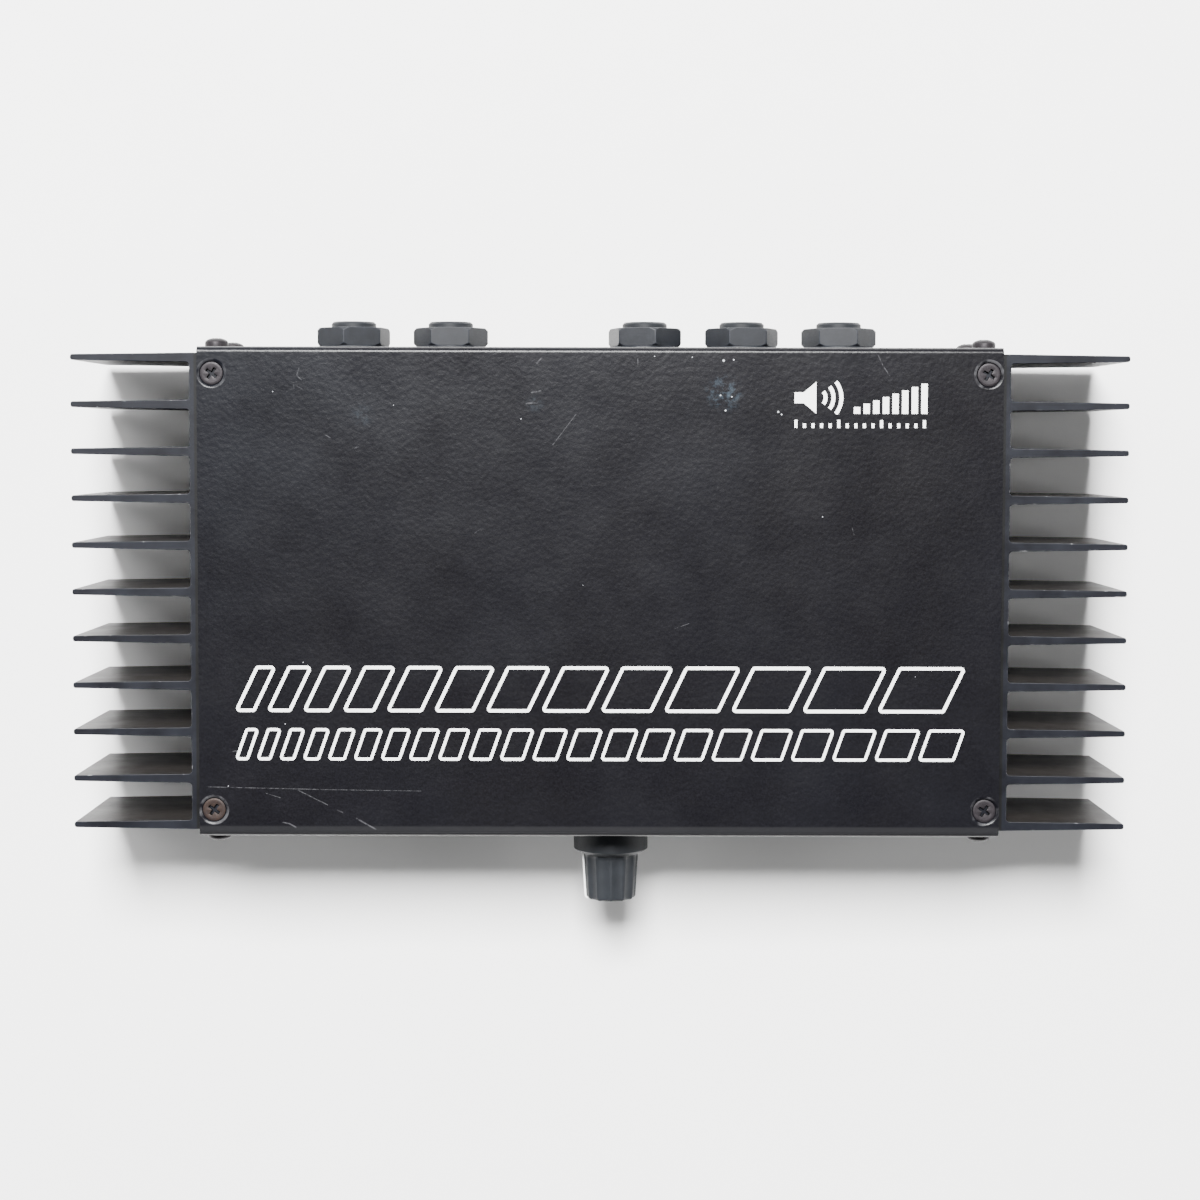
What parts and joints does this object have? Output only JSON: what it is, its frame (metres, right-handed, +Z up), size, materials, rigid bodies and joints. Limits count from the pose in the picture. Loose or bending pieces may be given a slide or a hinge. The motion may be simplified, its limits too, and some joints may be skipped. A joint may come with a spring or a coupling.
{
  "type": "power amplifier",
  "caption": "Low power amplifier: a folded cover between finned side heatsinks, a row of jack sockets and a power inlet at the back, a turning volume knob at the front.",
  "frame": {"origin": "on the surface that the feet stand on, under the middle of the whole outline", "axes": "+Z up, the volume knob faces -Y, the jack sockets face +Y, +X to the right seen from the front"},
  "size_m": [0.254, 0.1439, 0.0435],
  "materials": {
    "cover_coat": "semi-gloss powder coat with a fine orange-peel texture",
    "heatsink_anodised": "blue-black anodised extrusion, worn at the edges",
    "screw_steel": "dull zinc-plated steel",
    "jack_plastic": "moulded black nylon",
    "nut_plastic": "moulded dark grey nylon",
    "knob_plastic": "moulded black plastic, satin",
    "pointer_white": "white inlay",
    "control_metal": "nickel-plated steel and brass",
    "contact_metal": "nickel-plated phosphor bronze",
    "track_board": "phenolic board with a resistive track",
    "indicator_lens": "tinted epoxy lens",
    "circuit_board": "solder mask on glass-fibre laminate",
    "chip_epoxy": "moulded epoxy",
    "thermal_pad": "grey silicone pad",
    "clamp_aluminium": "sawn bar, mill finish",
    "capacitor_sleeve": "shrunk sleeve",
    "ferrite": "coated ring core",
    "copper_wire": "enamelled copper",
    "film_cap_case": "potted case",
    "resistor_body": "lacquered film resistor",
    "relay_case": "moulded case",
    "foot_rubber": "soft black rubber"
  },
  "bodies": {
    "amplifier": {"back_panel_screws": "screw_steel", "board_screws": "screw_steel", "board_spacers": "control_metal", "bottom_plate": "cover_coat", "bottom_screws": "screw_steel", "dc_inlet": "jack_plastic", "dc_inlet_contact": "contact_metal", "dc_inlet_pin": "contact_metal", "film_capacitors": "film_cap_case", "front_panel_screws": "screw_steel", "inductor_cores": "ferrite", "inductor_windings": "copper_wire", "jack_nuts": "nut_plastic", "jack_washers": "nut_plastic", "led_holder": "relay_case", "left_clamp_bar": "clamp_aluminium", "left_clamp_screws": "screw_steel", "left_heatsink": "heatsink_anodised", "left_input_contacts": "contact_metal", "left_input_jack": "jack_plastic", "left_output_contacts": "contact_metal", "left_output_jack": "jack_plastic", "left_power_chips": "chip_epoxy", "left_thermal_pads": "thermal_pad", "link_contacts": "contact_metal", "link_jack": "jack_plastic", "main_board": "circuit_board", "pot_bushing": "control_metal", "pot_housing": "control_metal", "pot_nut": "control_metal", "pot_terminals": "control_metal", "pot_track": "track_board", "pot_washer": "control_metal", "power_led": "indicator_lens", "preamp_chips": "chip_epoxy", "reservoir_capacitors": "capacitor_sleeve", "resistors": "resistor_body", "right_clamp_bar": "clamp_aluminium", "right_clamp_screws": "screw_steel", "right_heatsink": "heatsink_anodised", "right_input_contacts": "contact_metal", "right_input_jack": "jack_plastic", "right_output_contacts": "contact_metal", "right_output_jack": "jack_plastic", "right_power_chips": "chip_epoxy", "right_thermal_pads": "thermal_pad", "rubber_feet": "foot_rubber", "spacer_screws": "screw_steel", "speaker_relay": "relay_case", "top_cover": "cover_coat", "top_screws": "screw_steel"},
    "knob": {"volume_knob": "knob_plastic", "knob_pointer": "pointer_white", "pot_shaft": "control_metal", "pot_wiper": "control_metal"}
  },
  "joints": [
    {"name": "volume_turn", "type": "hinge", "parent": "amplifier", "child": "knob", "pos_m": [0.0029, -0.053, 0.02325], "axis": [0, 1, 0], "range_deg": [-60, 240]}
  ]
}
